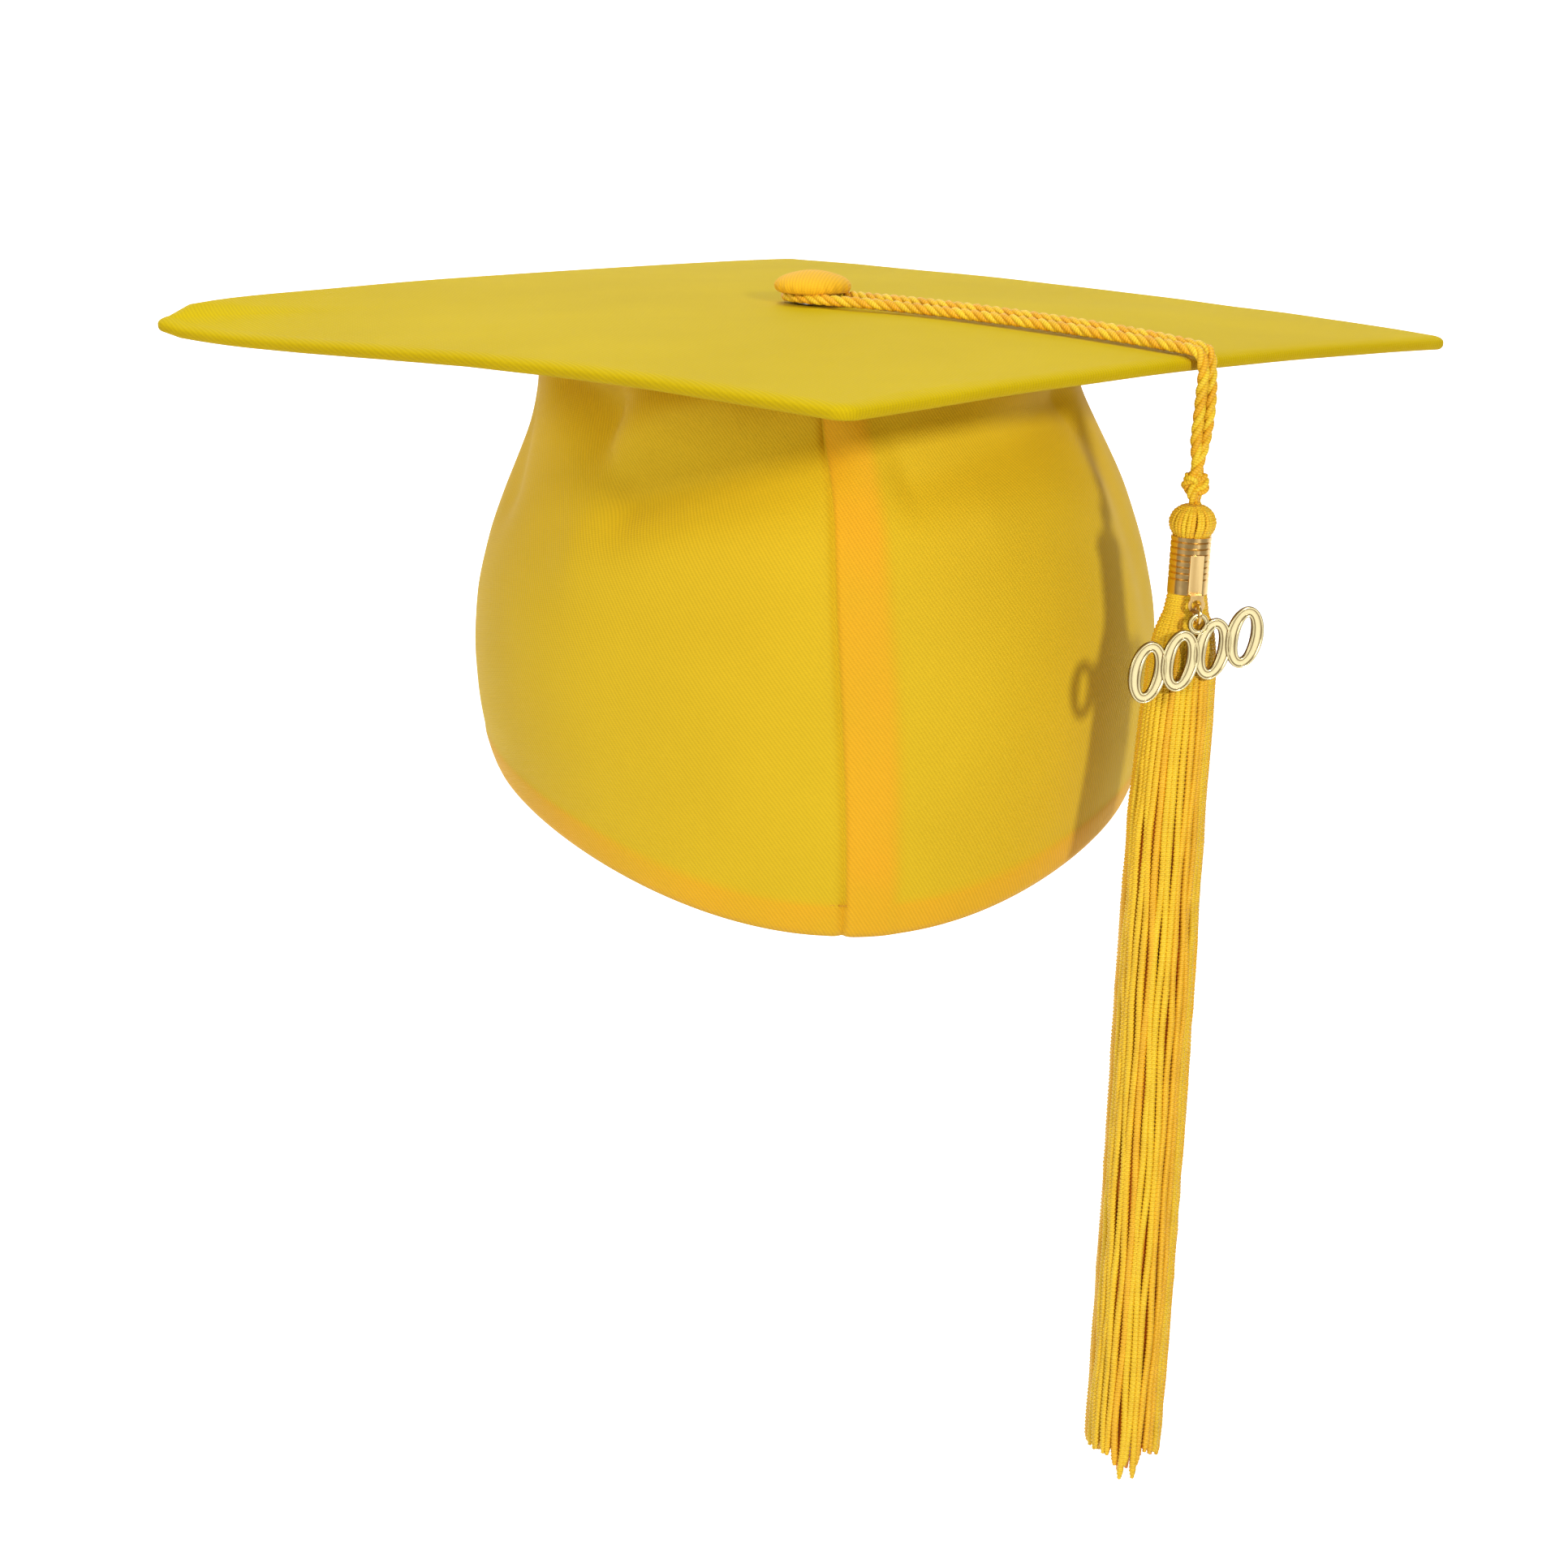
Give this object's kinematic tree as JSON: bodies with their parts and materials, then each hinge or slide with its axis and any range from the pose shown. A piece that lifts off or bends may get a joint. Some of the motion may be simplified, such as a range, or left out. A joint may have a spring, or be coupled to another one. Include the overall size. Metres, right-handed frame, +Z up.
{
  "type": "graduation cap",
  "caption": "Graduation cap: square cloth-covered board on a soft crown, with a button, a doubled cord and a long tassel carrying a gilt charm.",
  "frame": {"origin": "centre of the head opening, level with the rim at the sides of the crown", "axes": "+Z up through the button, -Y to the front corner of the board, +X to the wearer's left (the tassel's side)"},
  "size_m": [0.335, 0.335, 0.2964],
  "materials": {
    "cap_cloth": "satin twill, golden yellow",
    "chipboard": "raw grey-brown board",
    "button_metal": "plain",
    "seam_tape": "plain weave, orange yellow",
    "elastic": "knitted",
    "label_cloth": "woven, blank",
    "cord_yarn": "shiny twisted rayon",
    "tassel_yarn": "shiny twisted rayon",
    "gilt_metal": "polished pale gold"
  },
  "bodies": {
    "cap": {"board_cover_top": "cap_cloth", "board_core": "chipboard", "board_cover_bottom": "cap_cloth", "button_cover": "cap_cloth", "button_shell": "button_metal", "button_back": "button_metal", "button_rivet": "button_metal", "button_washer": "button_metal", "crown_panel_left": "cap_cloth", "crown_panel_right": "cap_cloth", "crown_top": "cap_cloth", "front_seam_tape": "seam_tape", "back_seam_tape": "seam_tape", "hem_facing": "seam_tape", "elastic_band": "elastic", "size_label": "label_cloth"},
    "cord_loop": {"tassel_cord_loop": "cord_yarn"},
    "cord_drop": {"tassel_cord_drop": "cord_yarn"},
    "knot": {"cord_knot": "cord_yarn"},
    "tassel": {"tassel_head": "tassel_yarn", "tassel_neck": "tassel_yarn", "tassel_skirt": "tassel_yarn", "tassel_barrel": "gilt_metal", "barrel_strap": "gilt_metal"},
    "ring": {"jump_ring": "gilt_metal"},
    "charm": {"charm": "gilt_metal"}
  },
  "joints": [
    {"name": "cord_turn", "type": "hinge", "parent": "cap", "child": "cord_loop", "pos_m": [0, 0, 0.122], "axis": [0, 0, 1], "range_deg": [-6, 2.5]},
    {"name": "cord_swing", "type": "hinge", "parent": "cord_loop", "child": "cord_drop", "pos_m": [0.08981, -0.08404, 0.1178], "axis": [-0.6833, -0.7302, 0], "range_deg": [-3, 80]},
    {"name": "tassel_sway", "type": "hinge", "parent": "cord_drop", "child": "knot", "pos_m": [0.08894, -0.08404, 0.0856], "axis": [0.7302, -0.6833, 0], "range_deg": [-35, 35]},
    {"name": "tassel_spin", "type": "hinge", "parent": "knot", "child": "tassel", "pos_m": [0.08894, -0.08404, 0.0856], "axis": [0.027, 0, 0.9996], "range_deg": [-180, 180]},
    {"name": "ring_swing", "type": "hinge", "parent": "tassel", "child": "ring", "pos_m": [0.08946, -0.09104, 0.05938], "axis": [0.1736, -0.9848, -0.0047], "range_deg": [-25, 25]},
    {"name": "charm_swing", "type": "hinge", "parent": "ring", "child": "charm", "pos_m": [0.08962, -0.09222, 0.05729], "axis": [-0.9844, -0.1737, 0.0266], "range_deg": [0, 70]}
  ]
}
